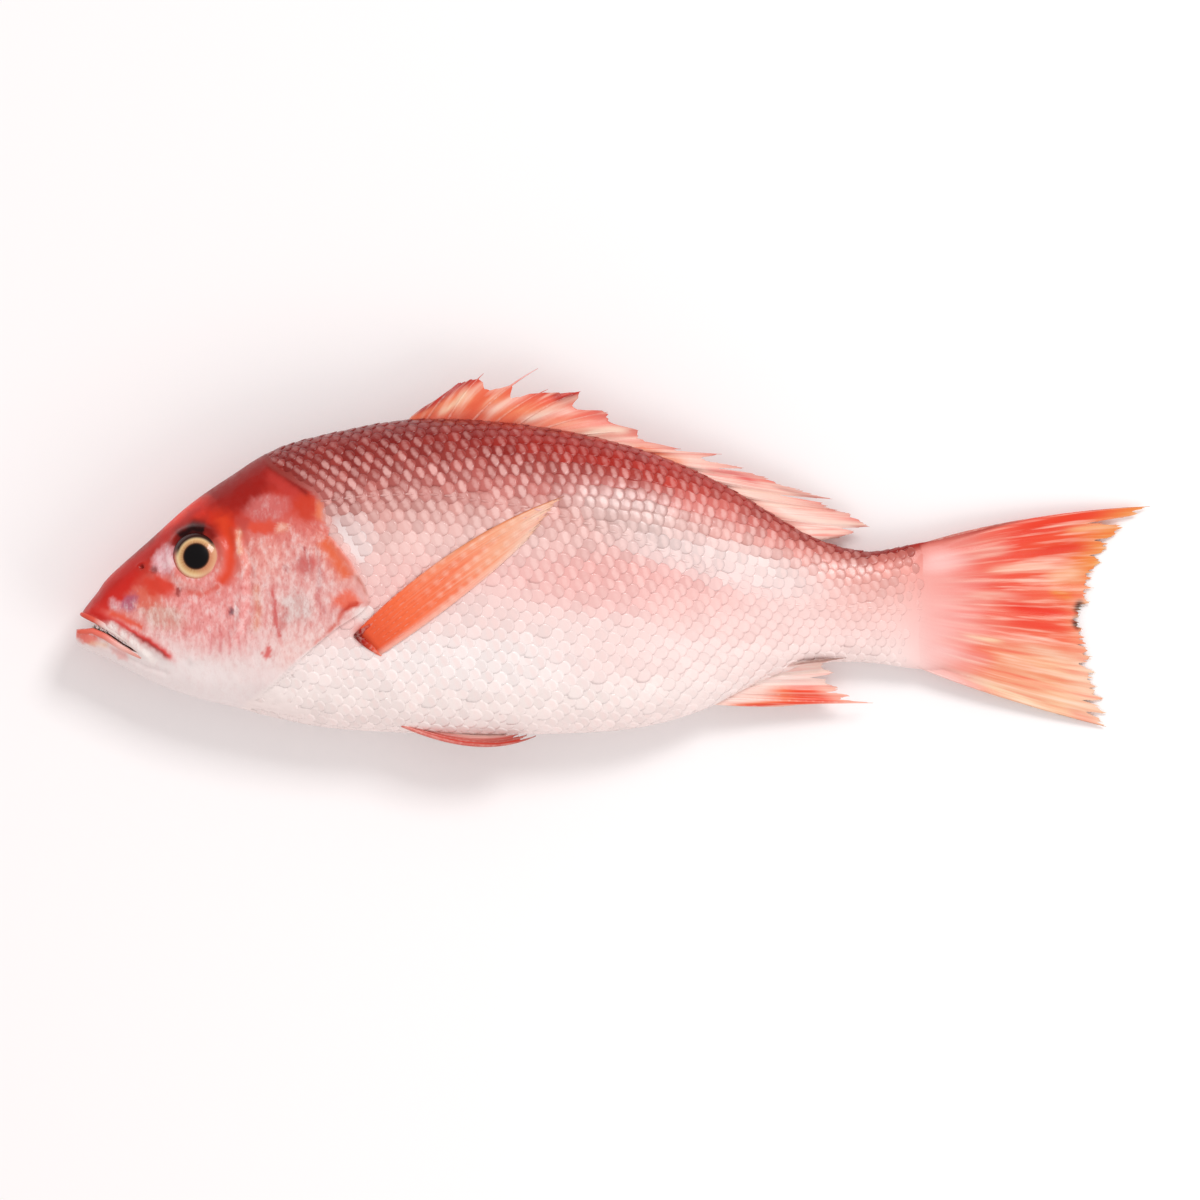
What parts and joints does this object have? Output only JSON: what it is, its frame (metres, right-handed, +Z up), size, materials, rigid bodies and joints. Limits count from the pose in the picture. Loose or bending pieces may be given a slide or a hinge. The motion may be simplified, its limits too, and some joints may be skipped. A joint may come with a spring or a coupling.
{
  "type": "whole raw fish",
  "caption": "Whole raw red snapper lying on its right flank, with scaled rosy skin, folded spiny fins, a forked tail and slightly parted jaws.",
  "frame": {"origin": "centre of the fish's outline as seen from above, on the surface that it lies on", "axes": "+X from the head towards the tail, +Y towards the back and its fin, +Z up, out of the left flank"},
  "size_m": [0.4205, 0.1476, 0.0523],
  "materials": {
    "skin": "wet scaled skin, brick red along the back, pale pink on the flank and nearly white on the belly",
    "eye": "glossy clear eye with a black pupil in a golden ring"
  },
  "bodies": {
    "root": {"fish": "skin", "eye_left": "eye", "eye_right": "eye"}
  },
  "joints": []
}
